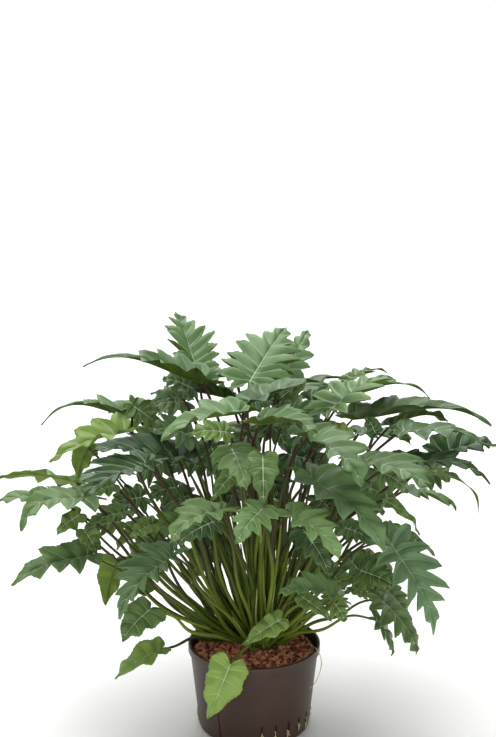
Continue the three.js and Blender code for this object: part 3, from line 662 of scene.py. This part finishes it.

# ---- Small leaves -------------------------------------------------------------------------------
# Smaller and older leaves that hang between the large ones, on stalks of their own. They are
# listed as the large leaves are. Most are given a low tone: painted shade for leaves deep in the plant.
SMALL_LEAVES = [
    ("young", 55, 130, 690, 115, 160, 725, 30, 40, 10, 20, 25, 15, 0.4, 0.7),
    ("broad", -145, 40, 715, -215, 20, 700, -30, 75, 10, 15, 35, 30, 0.6, 0.1),
    ("broad", -265, -20, 490, -345, -70, 470, -10, 70, 10, 10, 35, 25, 0.35, 0.5),
    ("broad", -215, 75, 425, -285, 70, 400, -55, 70, 10, 10, 35, 30, 0.4, 0.85),
    ("young", 280, 60, 420, 385, 60, 360, 20, 40, 15, 20, 20, 15, 0.4, 0.5),
    ("young", 155, -20, 670, 205, -20, 655, 10, 50, 5, 10, 20, 5, 0.85, 1),
    ("young", -35, -120, 615, -85, -150, 560, -20, 40, 5, 10, 25, 5, 0.3, 0.7),
    ("broad", -80, -170, 525, -155, -200, 485, -15, 45, 10, 10, 35, 5, 0.25, 0.3),
    ("broad", 215, -120, 400, 285, -170, 385, 10, 30, 10, 10, 40, 10, 0.2, 0.7),
    ("young", 95, -135, 350, 155, -180, 315, 5, 50, 5, 10, 20, 5, 0.4, 0.7),
    ("broad", 155, -120, 340, 185, -140, 295, 15, 30, 5, 10, 30, 10, 0.35, 0.8),
    ("young", 240, 60, 515, 305, 50, 470, 40, 35, 10, 10, 30, 5, 0.35, 0.6),
    ("broad", -55, -60, 675, -135, -60, 665, -15, 55, 10, 15, 35, 10, 0.6, 0.75),
    ("young", 250, 15, 650, 225, 15, 685, -15, 55, 5, 10, 20, 10, 0.15, 0.35),
    ("broad", -90, 70, 600, -55, 30, 515, 15, 55, 10, 15, 45, 10, 0.2, 0.3),
    ("broad", 100, -90, 475, 150, -150, 400, 15, 55, 10, 15, 45, 10, 0.2, 0.3),
    ("broad", 185, -60, 470, 240, -80, 440, 15, 55, 10, 10, 35, 10, 0.25, 0.4),
    ("broad", -165, 60, 515, -220, 40, 495, -15, 55, 10, 10, 40, 10, 0.2, 0.45),
    ("young", -295, 30, 530, -335, 20, 510, -15, 55, 5, 10, 25, 10, 0.4, 0.75),
    ("young", -215, -45, 470, -250, -75, 450, -15, 55, 5, 10, 25, 10, 0.5, 0.8),
    ("tongue", 90, -90, 675, 150, -120, 665, 15, 55, 10, 10, 45, 10, 0.1, 0.2),
    ("tongue", -135, 30, 640, -215, 10, 655, -15, 55, 10, 15, 55, 10, 0.4, 0.2),
    ("broad", 65, 45, 675, 145, 65, 655, 15, 55, 10, 15, 60, 10, 0.3, 0.15),
    ("tongue", 120, 165, 675, 200, 175, 650, 15, 55, 10, 15, 50, 10, 0.3, 0.2),
    ("broad", 30, 110, 640, 65, 100, 590, 15, 55, 10, 15, 40, 10, 0.3, 0.35),
    ("tongue", -150, 105, 690, -220, 105, 670, -15, 55, 10, 15, 50, 10, 0.4, 0.3),
    ("broad", -185, 70, 615, -265, 65, 595, -15, 55, 10, 15, 55, 10, 0.45, 0.3),
    ("tongue", 250, 0, 575, 315, -20, 530, 15, 55, 10, 15, 45, 10, 0.4, 0.4),
    ("broad", 215, 80, 505, 275, 60, 450, 15, 55, 10, 15, 45, 10, 0.35, 0.4),
    ("broad", -140, 120, 475, -200, 100, 445, -15, 55, 10, 15, 45, 10, 0.2, 0.45),
    ("broad", -95, 150, 555, -180, 140, 525, -15, 55, 10, 15, 60, 10, 0.15, 0.25),
    ("broad", 75, 130, 565, 165, 120, 525, 15, 55, 10, 15, 60, 10, 0.15, 0.25),
    ("tongue", -10, 60, 640, -40, 20, 565, -15, 55, 10, 15, 50, 10, 0.2, 0.3),
    ("broad", 25, 235, 500, 55, 215, 430, 15, 45, 10, 15, 50, 10, 0.15, 0.3),
    ("broad", -200, 205, 520, -255, 200, 480, -15, 50, 10, 15, 50, 10, 0.2, 0.35),
    ("broad", 145, 150, 455, 210, 120, 370, 15, 55, 10, 15, 55, 10, 0.15, 0.4),
    ("broad", -205, 150, 360, -275, 160, 310, -15, 55, 10, 10, 50, 10, 0.25, 0.6),
    ("broad", 240, 100, 335, 300, 100, 285, 15, 55, 10, 10, 45, 10, 0.25, 0.6),
    ("tongue", -35, 235, 465, -60, 215, 390, -15, 45, 10, 15, 55, 10, 0.15, 0.3),
    ("broad", -85, 190, 345, -140, 180, 255, -15, 55, 10, 10, 55, 10, 0.15, 0.4),
    ("broad", 115, 190, 335, 160, 170, 235, 15, 55, 10, 10, 55, 10, 0.15, 0.4),
    ("young", -365, 0, 475, -410, -10, 435, -15, 55, 5, 10, 25, 10, 0.35, 0.85),
    ("young", -350, -40, 455, -325, -55, 410, 15, 55, 5, 10, 25, 10, 0.35, 0.7),
    ("broad", -250, 40, 700, -190, 45, 640, 15, 55, 5, 10, 40, 10, 0.4, 0.5),
    ("young", 275, 40, 430, 315, 40, 405, 15, 55, 5, 10, 20, 10, 0.6, 0.8),
    ("broad", -285, 40, 445, -350, 30, 430, -15, 55, 5, 10, 40, 10, 0.35, 0.75),
    ("broad", -245, 150, 460, -310, 140, 445, -15, 55, 5, 10, 45, 10, 0.3, 0.45),
    ("broad", -130, 120, 715, -195, 120, 735, -15, 55, 5, 10, 40, 10, 0.4, 0.2),
    ("tongue", -140, 140, 410, -225, 130, 380, -15, 55, 10, 15, 55, 10, 0.45, 0.6),
    ("broad", 360, 150, 520, 425, 150, 500, 15, 55, 5, 10, 50, 10, 0.3, 0.4),
    ("broad", -10, 140, 685, 65, 140, 670, 15, 55, 5, 10, 40, 10, 0.3, 0.3),
    ("tongue", 205, 60, 350, 265, 30, 270, 15, 55, 10, 10, 45, 10, 0.35, 0.65),
    ("young", 160, 0, 345, 190, -20, 315, 15, 55, 5, 10, 30, 10, 0.4, 0.6),
    ("young", 205, -40, 330, 235, -60, 310, 15, 55, 5, 10, 20, 10, 0.4, 0.7),
    ("broad", 275, 20, 305, 325, 0, 245, 30, 55, 5, 10, 40, 10, 0.4, 0.55),
    ("young", -225, 30, 310, -270, 20, 280, -15, 55, 5, 10, 25, 10, 0.35, 0.65),
]
small_leaves = [Leaf(number, row) for number, row in enumerate(SMALL_LEAVES, len(leaves) + 1)]

# ---- Crown and leaf stalks ----------------------------------------------------------------------
# All the stalks grow from one low crown in the granules: fleshy rods, widened to a sheath at the
# foot, channelled on the inner side, with a joint under the blade. Pale dried sheath edges and
# rolled young leaves stand among them. They are one grown thing, so they are one piece.
STALK_STEPS = 26
STALK_SIDES = 10
SHEATH_END = 0.24
SHEATH_WIDTH = 0.5
SHEATH_CURVE = 1.5
CHANNEL = 0.22
CHANNEL_CURVE = 4
JOINT_SWELL = 0.28
JOINT_PLACE = 0.965
JOINT_LENGTH = 0.02
STALK_SWAY = 8
SWAY_TURN = 7
SWAY_SKEW = 1.3
THIN_STALK = 0.8
THICK_STALK = 1.2
EDGE_COUNT = 56
EDGE_STARTS = (0.03, 0.12)
EDGE_LENGTHS = (0.16, 0.38)
EDGE_END_WIDTH = 0.3
EDGE_WIDTH = 2.6
EDGE_THICKNESS = 0.45
EDGE_GAP = 1.05
EDGE_OPENING = 4
EDGE_LIFT = 2
EDGE_PALES = (0.35, 0.95)
SHOOT_COUNT = 46
SHOOT_SPREAD = 42
SHOOT_RADIUS = 4.8
SHOOT_TAPER = 0.75
SHOOT_HEIGHTS = (200, 400)
SHOOT_LEANS = (0.05, 0.42)
SHOOT_STRAY = 25
SHOOT_BEND = 10
SHOOT_KNEE = 0.66
SHOOT_STRAIGHT = 0.35
SHOOT_BULGE = 0.06
SHOOT_FLAT = 0.8
DRY_SHOOTS = 0.12
DRY_SHOOT_PALE = 0.6
SHOOT_RISE = 0.6
SHOOT_DUSK = 0.25
CROWN_RISE = 0.62
CROWN_MARGIN = 3
CROWN_HEIGHT = 15
SCAR_HEIGHT = 4
SCAR_FINENESS = 6
# Painted light and shade on the stalks: each gets a lightness, most low as painted shade in the dense fan, a
# few high as lit stalks.
LIGHT_SPREAD = 1.2
STALK_LIGHT = -0.15
SHOOT_LIGHT = -0.2
# Partly the stalks' own brown and partly painted shade: the stalk tops darken, the more so the higher they
# reach.
DUSK_CLIMB = 0.3
DUSK_SPREAD = 0.4
DUSK_START = -0.15
DUSK_LEAST = 0.1
STALK_OLIVE = (0.23, 0.31, 0.035, 1)
STALK_SHADED_GREEN = (0.026, 0.050, 0.004, 1)
STALK_BROWN_AND_SHADE = (0.042, 0.026, 0.011, 1)
STALK_STREAK_AND_HIGHLIGHT = (0.40, 0.48, 0.13, 1)
SHEATH_PALE = (0.50, 0.54, 0.20, 1)
STALK_ROUGHNESS = 0.42
STALK_GLOSS = 0.18


def ranged(tree, value, low, high, first=0, last=1):
    """Carries a value between low and high over to first and last, and holds it there beyond."""
    limits = {"Value": value, 1: low, 2: high, 3: first, 4: last}
    return add_node(tree, "ShaderNodeMapRange", limits).outputs[0]


def add_rod(shape, route, section, steps, sides):
    """One rod in a bmesh, still open at its seam and ends. Returns its vertices and their shares."""
    made = bmesh.ops.create_grid(shape, x_segments=steps, y_segments=sides, size=0.5, calc_uvs=True)
    shares = {vert: vert.co.x + 0.5 for vert in made["verts"]}
    for vert, share in shares.items():
        turn = math.tau * (vert.co.y + 0.5)
        centre, side, top = route(share)
        wide, deep = section(share, turn)
        vert.co = (centre + side * (wide * math.cos(turn)) + top * (deep * math.sin(turn))) * MM
    return shares


def close_rods(shape, sides):
    """Welds the rods' seams, closes their ends and turns their faces outward."""
    bmesh.ops.remove_doubles(shape, verts=shape.verts, dist=WELD)
    bmesh.ops.holes_fill(shape, edges=shape.edges, sides=sides)
    bmesh.ops.recalc_face_normals(shape, faces=shape.faces)
    for face in shape.faces:
        face.smooth = True


def stalk_frame(leaf, share):
    """The middle of a stalk at one share of its length, its flat side and its channelled side."""
    place, along = bezier(leaf.stalk, share)
    away = leaf.base - CROWN
    across = Vector((-away.y, away.x, 0)).normalized()
    side = (across - along * across.dot(along)).normalized()
    top = along.cross(side)
    swing = SWAY_TURN * share + math.tau * chance(leaf.number, 630)
    sway = STALK_SWAY * math.sin(math.pi * share)
    return place + (side * math.cos(swing) + top * math.sin(SWAY_SKEW * swing)) * sway, side, top


def stalk_section(leaf, share, turn):
    """Half the width and depth of a stalk at one share of its length, at an angle round it."""
    radius = blend(STALK_FOOT_RADIUS, STALK_END_RADIUS, share)
    radius *= blend(THIN_STALK, THICK_STALK, chance(leaf.number, 502))
    sheath = SHEATH_WIDTH * max(0, 1 - share / SHEATH_END) ** SHEATH_CURVE
    joint = JOINT_SWELL * math.exp(-(((share - JOINT_PLACE) / JOINT_LENGTH) ** 2))
    channel = CHANNEL * max(0, math.sin(turn)) ** CHANNEL_CURVE
    return radius * (1 + sheath + joint), radius * (1 + joint - channel)


stalk_finish, tree, shader = finish_of("stalk", STALK_ROUGHNESS, STALK_GLOSS)
rise = attribute(tree, "rise")
unrolled = add_node(tree, "ShaderNodeTexCoord").outputs["UV"]
drawn_out = add_node(tree, "ShaderNodeMapping", {0: unrolled, "Scale": (2.5, 7, 1)}).outputs[0]
streaks = noise(tree, scale=1.6, detail=3, where=drawn_out)
# Painted light and shade: each stalk is mixed between a shaded dark green and a lit olive, with a random
# mottle on top.
light = calculate(tree, "MULTIPLY_ADD", noise(tree, scale=26), 0.4, attribute(tree, "light"))
body = mix_colours(tree, light, STALK_SHADED_GREEN, STALK_OLIVE)
# Pale streaks on the lower stalks: partly their own pale lines, partly painted highlight.
low_part = ranged(tree, rise, 0.25, 0.7, 0.85, 0.12)
streak_and_highlight = calculate(tree, "MULTIPLY", ranged(tree, streaks, 0.56, 0.72), low_part)
body = mix_colours(tree, streak_and_highlight, body, STALK_STREAK_AND_HIGHLIGHT)
# Painted shade with the stalks' own brown: the upper stalks and the crown turn dark brown, partly their own
# colour and partly the shade under the leaves.
brown_and_shade = calculate(tree, "MULTIPLY", ranged(tree, rise, 0.28, 0.8), attribute(tree, "brown_and_shade"))
body = mix_colours(tree, brown_and_shade, body, STALK_BROWN_AND_SHADE)
body = mix_colours(tree, attribute(tree, "pale"), body, SHEATH_PALE)
tree.links.new(body, shader.inputs["Base Color"])
add_relief(tree, shader, streaks, strength=0.35, distance=0.0005)

stalks_shape = bmesh.new()
stalks_shape.loops.layers.uv.new("UVMap")
rise_of, brown_and_shade_of, pale_of, painted_light_of = (
    stalks_shape.verts.layers.float.new(name) for name in ("rise", "brown_and_shade", "pale", "light")
)
for leaf in leaves + small_leaves:
    route, section = partial(stalk_frame, leaf), partial(stalk_section, leaf)
    # Painted light and shade: most stalks come out dark as if shaded, a few light as if lit.
    painted_lightness = LIGHT_SPREAD * chance(leaf.number, 501) ** 2 + STALK_LIGHT
    # Painted shade with its own brown: the higher a stalk's blade, the darker its top.
    brown_and_shade = DUSK_CLIMB * leaf.stalk[3].z / POT_HEIGHT + DUSK_START
    brown_and_shade += DUSK_SPREAD * chance(leaf.number, 500)
    for vert, share in add_rod(stalks_shape, route, section, STALK_STEPS, STALK_SIDES).items():
        vert[rise_of], vert[painted_light_of] = share, painted_lightness
        vert[brown_and_shade_of] = min(1, max(DUSK_LEAST, brown_and_shade))


def edge_route(leaf, hand, start, end, share):
    """A thin dried strip that runs up one side of a stalk and opens away from it."""
    at = blend(start, end, share)
    place, side, top = stalk_frame(leaf, at)
    away = EDGE_GAP * stalk_section(leaf, at, 0)[0] + EDGE_OPENING * share * share
    return place + side * (hand * away) + top * (EDGE_LIFT * share), side, top


def edge_section(share, turn):
    swell = math.sin(math.pi * min(1, share * 0.9 + 0.1)) ** 0.8
    return EDGE_END_WIDTH + EDGE_WIDTH * swell * (1 - 0.6 * share), EDGE_THICKNESS


draw = random.Random(21)
for leaf in draw.sample(leaves, EDGE_COUNT):
    hand, start = draw.choice((-1, 1)), draw.uniform(*EDGE_STARTS)
    route = partial(edge_route, leaf, hand, start, start + draw.uniform(*EDGE_LENGTHS))
    for vert, share in add_rod(stalks_shape, route, edge_section, steps=10, sides=6).items():
        vert[rise_of] = share
        vert[pale_of] = blend(*EDGE_PALES, share)


def shoot_route(foot, knee, tip, share):
    """A rolled young leaf that stands among the stalks and bends a little outward."""
    upright = Vector((0, 0, SHOOT_STRAIGHT)) * (tip - foot).z
    place, along = bezier((foot, foot + upright, knee, tip), share)
    side = (Vector((1, 0, 0)) - along * along.x).normalized()
    return place, side, along.cross(side)


def shoot_section(share, turn):
    radius = SHOOT_RADIUS * (1 - SHOOT_TAPER * share**2)
    return radius, radius * blend(SHOOT_FLAT, 1, share)


for index in range(SHOOT_COUNT):
    turn = draw.uniform(0, math.tau)
    outward = Vector((math.cos(turn), math.sin(turn), 0))
    foot = STALK_START + outward * (SHOOT_SPREAD * math.sqrt(draw.random()))
    tall = draw.uniform(*SHOOT_HEIGHTS)
    lean, stray = draw.uniform(*SHOOT_LEANS), draw.uniform(-SHOOT_STRAY, SHOOT_STRAY)
    tip = foot + outward * (tall * lean) + Vector((stray, 0, tall))
    bend = [draw.uniform(-SHOOT_BEND, SHOOT_BEND) for _ in range(2)]
    knee = foot.lerp(tip, SHOOT_KNEE) + Vector((*bend, SHOOT_BULGE * tall))
    # Painted light and shade on the rolled shoots, as on the stalks.
    painted_lightness = LIGHT_SPREAD * draw.random() ** 2 + SHOOT_LIGHT
    dried = DRY_SHOOT_PALE if draw.random() < DRY_SHOOTS else 0
    route = partial(shoot_route, foot, knee, tip)
    for vert, share in add_rod(stalks_shape, route, shoot_section, steps=16, sides=8).items():
        vert[rise_of], vert[painted_light_of] = SHOOT_RISE * share, painted_lightness
        vert[brown_and_shade_of], vert[pale_of] = SHOOT_DUSK, dried * share

crown_radius = OUTERMOST_STALK + CROWN_MARGIN
crown_size = Vector((crown_radius, crown_radius, CROWN_HEIGHT)) * MM
crown_place = (CROWN + Vector((0, 0, CROWN_TOP - CROWN_HEIGHT / 2))) * MM
crown_stand = Matrix.LocRotScale(crown_place, None, crown_size)
crown = bmesh.ops.create_icosphere(stalks_shape, subdivisions=4, radius=1, matrix=crown_stand)["verts"]
for vert in crown:
    out = (vert.co - crown_place).normalized()
    scar = chance(round(out.x * SCAR_FINENESS), round(out.y * SCAR_FINENESS))
    vert.co += out * (SCAR_HEIGHT * MM * scar)
    # The crown gets the full dark brown, partly its own colour and partly painted shade under the plant.
    vert[brown_and_shade_of], vert[rise_of] = 1, CROWN_RISE
close_rods(stalks_shape, STALK_SIDES)
place_piece("crown_and_stalks", stalks_shape, [stalk_finish], "stalk", "stalks")

# ---- Leaf blades --------------------------------------------------------------------------------
# Each blade is a thin leathery sheet on its midrib. It swells between the side veins, its margin
# hangs and waves, and below it the midrib and the side veins stand out as ribs. The upper face is a
# dull grey-green, the underside a deep olive that is kept dark as painted shade, and young leaves
# are yellower.
BLADE_STEPS = 6
SMALL_BLADE_STEPS = 4
BLADE_COLUMNS = 9
COLUMN_CROWDING = 1.6
RIB_THICKNESS = 2.6
SHEET_SHARE = 0.24
RIB_HALF_WIDTH = 1.7
RIB_NARROWING = 0.75
RIB_FLATTENING = 0.7
VEIN_HALF_WIDTH = 1.1
VEIN_RIDGE = 0.4
VEIN_FADE = 1.1
THREAD_COUNT = 2
THREAD_SHARE = 0.08
THREAD_RELIEF = 0.5
VEIN_RELIEF = -1.5
MOTTLE = 0.18
ROUGHNESS_SPREAD = 0.14
COOL_DARK = (0.012, 0.048, 0.011, 1)
COOL_LIGHT = (0.130, 0.236, 0.102, 1)
WARM_DARK = (0.042, 0.092, 0.006, 1)
WARM_LIGHT = (0.260, 0.400, 0.070, 1)
VEIN_PALE = (0.47, 0.57, 0.34, 1)
# The underside colours are kept dark as painted shade under the leaves.
UNDER_DARK = (0.010, 0.026, 0.003, 1)
UNDER_LIGHT = (0.055, 0.092, 0.008, 1)
UNDER_VEIN = (0.11, 0.16, 0.03, 1)
DRY_BROWN = (0.10, 0.055, 0.02, 1)
DRY_TIPS = (2, 4, 8, 13, 40, 45)
DRY_FROM = 0.9

leaf_veins = bpy.data.node_groups.new("leaf_veins", "ShaderNodeTree")
for name in ("Vein Strength", "Thread Count"):
    leaf_veins.interface.new_socket(name, in_out="INPUT", socket_type="NodeSocketFloat")
for name in ("Veins", "Threads"):
    leaf_veins.interface.new_socket(name, in_out="OUTPUT", socket_type="NodeSocketFloat")
given = add_node(leaf_veins, "NodeGroupInput").outputs
worn = ranged(leaf_veins, noise(leaf_veins, scale=34), 0.38, 0.62, 0.5)
rib_line = ranged(leaf_veins, attribute(leaf_veins, "rib"), 1.3, 0.5)
vein_line = ranged(leaf_veins, attribute(leaf_veins, "vein"), 1.5, 0.3)
vein_line = calculate(leaf_veins, "MULTIPLY", vein_line, given["Vein Strength"])
vein_line = calculate(leaf_veins, "MULTIPLY", vein_line, worn)
threads = calculate(leaf_veins, "MULTIPLY", attribute(leaf_veins, "row"), given["Thread Count"])
threads = ranged(leaf_veins, calculate(leaf_veins, "PINGPONG", threads, 0.5), 0.2, 0)
threads = calculate(leaf_veins, "MULTIPLY", threads, worn)
veins = calculate(leaf_veins, "MAXIMUM", rib_line, vein_line)
add_node(leaf_veins, "NodeGroupOutput", {"Veins": veins, "Threads": threads})


def blade_finish(name, dark, light, warm_dark, warm_light, veins, vein_strength, roughness, gloss):
    """One face of the blade: mottled between dark and light, warmed by age, with paler veins."""
    finish, tree, shader = finish_of(name, gloss=gloss)
    cloud = noise(tree, scale=22, detail=3)
    lines = {"Vein Strength": vein_strength, "Thread Count": THREAD_COUNT}
    lines = add_node(tree, "ShaderNodeGroup", lines, node_tree=leaf_veins).outputs
    mottle = ranged(tree, cloud, 0.3, 0.7, -MOTTLE, MOTTLE)
    # The leaf's tone is partly its own and partly painted light and shade for where it lies in the plant; a
    # random mottle is added.
    tone = calculate(tree, "ADD", attribute(tree, "tone"), mottle)
    # Painted shade along the midrib: the blade is darker close to it and a little lighter out toward the
    # margin.
    tone = calculate(tree, "ADD", tone, ranged(tree, attribute(tree, "rib"), 2, 18, -0.12, 0.1))
    cool = mix_colours(tree, tone, dark, light)
    warm = mix_colours(tree, tone, warm_dark, warm_light)
    body = mix_colours(tree, attribute(tree, "warmth"), cool, warm)
    threads = calculate(tree, "MULTIPLY", lines["Threads"], THREAD_SHARE)
    body = mix_colours(tree, calculate(tree, "MAXIMUM", lines["Veins"], threads), body, veins)
    body = mix_colours(tree, attribute(tree, "dry"), body, DRY_BROWN)
    tree.links.new(body, shader.inputs["Base Color"])
    dull = ranged(tree, cloud, 0, 1, roughness, roughness + ROUGHNESS_SPREAD)
    tree.links.new(dull, shader.inputs["Roughness"])
    height = calculate(tree, "MULTIPLY_ADD", lines["Threads"], THREAD_RELIEF, noise(tree, scale=260))
    height = calculate(tree, "MULTIPLY_ADD", lines["Veins"], VEIN_RELIEF, height)
    add_relief(tree, shader, height, strength=0.4, distance=0.0005)
    return finish


upper = {"veins": VEIN_PALE, "vein_strength": 0.65, "roughness": 0.36, "gloss": 0.34}
under = {"veins": UNDER_VEIN, "vein_strength": 0.5, "roughness": 0.5, "gloss": 0.15}
leaf_upper = blade_finish("leaf_upper", COOL_DARK, COOL_LIGHT, WARM_DARK, WARM_LIGHT, **upper)
leaf_under = blade_finish("leaf_under", UNDER_DARK, UNDER_LIGHT, UNDER_DARK, WARM_LIGHT, **under)


def place_blade(name, leaf, steps, *nodes):
    """Makes one leaf blade as a thin sheet with ribs below."""
    shape = bmesh.new()
    shape.loops.layers.uv.new("UVMap")
    rows = leaf.last * steps
    cells = {"x_segments": rows, "y_segments": 2 * BLADE_COLUMNS}
    bmesh.ops.create_grid(shape, **cells, size=0.5, calc_uvs=True)
    floats = shape.verts.layers.float
    rib_of, vein_of, row_of = floats.new("rib"), floats.new("vein"), floats.new("row")
    tone_and_shade_of, warmth_of, dry_of = floats.new("tone"), floats.new("warmth"), floats.new("dry")
    thick_of = shape.verts.layers.deform.verify()
    spots = {}
    for row in range(rows + 1):
        for column in range(-BLADE_COLUMNS, BLADE_COLUMNS + 1):
            across = math.copysign(abs(column / BLADE_COLUMNS) ** COLUMN_CROWDING, column)
            spots[row, column] = leaf.point(row / steps, across)
    for vert in shape.verts:
        row, column = round((vert.co.x + 0.5) * rows), round(-2 * vert.co.y * BLADE_COLUMNS)
        spot, station = spots[row, column], row / steps
        out = abs(column / BLADE_COLUMNS) ** COLUMN_CROWDING
        nearest = min(max(2 * round((station - 1) / 2) + 1, 1), leaf.last - leaf.last % 2 - 1)
        share = station / leaf.last
        rib_gap = (spot - spots[row, 0]).length / (RIB_HALF_WIDTH * (1 - RIB_NARROWING * share))
        vein_gap = (spot - spots[nearest * steps, column]).length / (VEIN_HALF_WIDTH * (VEIN_FADE - out))
        ridge = VEIN_RIDGE * (1 - out) * math.exp(-(vein_gap**2) / 2)
        vert[rib_of], vert[vein_of], vert[row_of] = rib_gap, vein_gap, station
        vert[tone_and_shade_of], vert[warmth_of] = leaf.tone, leaf.warmth
        vert[dry_of] = max(0, share - DRY_FROM) / (1 - DRY_FROM) if leaf.number in DRY_TIPS else 0
        vert[thick_of][0] = max((1 - RIB_FLATTENING * share) * math.exp(-(rib_gap**2) / 2), ridge)
        vert.co = spot * MM
    bmesh.ops.remove_doubles(shape, verts=shape.verts, dist=WELD)
    for face in shape.faces:
        face.smooth = True
    slot = "young_blade" if leaf.form == "young" else "leaf_blade"
    piece = place_piece(name, shape, [leaf_upper, leaf_under], slot, *nodes)
    piece.vertex_groups.new(name="thickness")
    sheet = piece.modifiers.new("sheet", "SOLIDIFY")
    sheet.thickness = RIB_THICKNESS * MM
    sheet.offset = -1
    sheet.vertex_group = "thickness"
    sheet.thickness_vertex_group = SHEET_SHARE
    sheet.material_offset = 1
    sheet.material_offset_rim = 0


for leaf in leaves:
    place_blade(f"blade_{leaf.number:02d}", leaf, BLADE_STEPS, f"leaf_{leaf.number:02d}")
for leaf in small_leaves:
    place_blade(f"small_blade_{leaf.number - len(leaves):02d}", leaf, SMALL_BLADE_STEPS)

# ---- Air root -----------------------------------------------------------------------------------
# One thin pale root has come out of the granules at the right. It goes over the rim and hangs down
# outside, and short roots of the same kind push out of the slots at the pot's foot.
ROOT_ROUTE = [
    (112, 40, 179), (119, 0, 184), (125, -35, 192), (131, -52, 195), (138, -60, 184),
    (141, -62, 166), (137, -64, 146), (129, -68, 128), (117, -72, 114),
]
ROOT_RADIUS = 1.2
ROOT_TAPER = 0.45
ROOT_PALE = (0.62, 0.56, 0.33, 1)
ROOT_GREEN = (0.26, 0.27, 0.08, 1)
ROOT_ROUGHNESS = 0.6
SLOT_ROOTS = 5
SLOT_ROOT_SPREAD = 2.2
SLOT_ROOT_HEIGHTS = (1, 17)
SLOT_ROOT_LEAN = 3
SLOT_ROOT_FALLS = (4, 14)
# A short root's points: how far out of the wall, how far aside, and how far down its fall.
SLOT_ROOT_ROUTE = [(-7, 0.5, -3), (-2, 1, 0), (1.2, 1, 0.1), (2.0, 1.1, 0.5), (1.6, 1.3, 1)]


def through(points, share):
    """The place and the frame at one share of a smooth line through some points."""
    at = min(share, 0.999) * (len(points) - 1)
    low, part = int(at), at - int(at)
    near = [Vector(points[min(max(low + step, 0), len(points) - 1)]) for step in (-1, 0, 1, 2)]
    place = eased(*near, part)
    along = (eased(*near, part + 0.01) - place).normalized()
    side = along.orthogonal().normalized()
    return place, side, side.cross(along)


def root_section(share, turn):
    radius = ROOT_RADIUS * (1 - ROOT_TAPER * share)
    return radius, radius


root_finish, tree, shader = finish_of("air_root", ROOT_ROUGHNESS)
patches = ranged(tree, noise(tree, scale=60, detail=3), 0.4, 0.62)
tree.links.new(mix_colours(tree, patches, ROOT_PALE, ROOT_GREEN), shader.inputs["Base Color"])

root_shape = bmesh.new()
root_shape.loops.layers.uv.new("UVMap")
add_rod(root_shape, partial(through, ROOT_ROUTE), root_section, steps=48, sides=8)
close_rods(root_shape, sides=8)
place_piece("loose_air_root", root_shape, [root_finish], "air_root", "air_root")

slot_root_shape = bmesh.new()
slot_root_shape.loops.layers.uv.new("UVMap")
draw = random.Random(5)
for index in range(SLOT_COUNT):
    turn = math.radians(FIRST_SLOT + index * SLOT_STEP)
    outward = Vector((math.sin(turn), -math.cos(turn), 0))
    sideways = Vector((math.cos(turn), math.sin(turn), 0))
    for _ in range(SLOT_ROOTS):
        spread = draw.uniform(-SLOT_ROOT_SPREAD, SLOT_ROOT_SPREAD)
        height = SLOT_LOW + draw.uniform(*SLOT_ROOT_HEIGHTS)
        lean = draw.uniform(-SLOT_ROOT_LEAN, SLOT_ROOT_LEAN)
        fall = draw.uniform(*SLOT_ROOT_FALLS)
        route = []
        for reach, aside, low in SLOT_ROOT_ROUTE:
            shift = spread * aside + lean * max(low, 0)
            far = outward * (wall_radius(height) + reach) + sideways * shift
            route.append(far + Vector((0, 0, height - fall * low if low > 0 else height + low)))
        add_rod(slot_root_shape, partial(through, route), root_section, steps=12, sides=6)
close_rods(slot_root_shape, sides=6)
place_piece("slot_roots", slot_root_shape, [root_finish], "air_root")

# ---- Bounds of the shown objects ----------------------------------------------------------------
low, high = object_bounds()
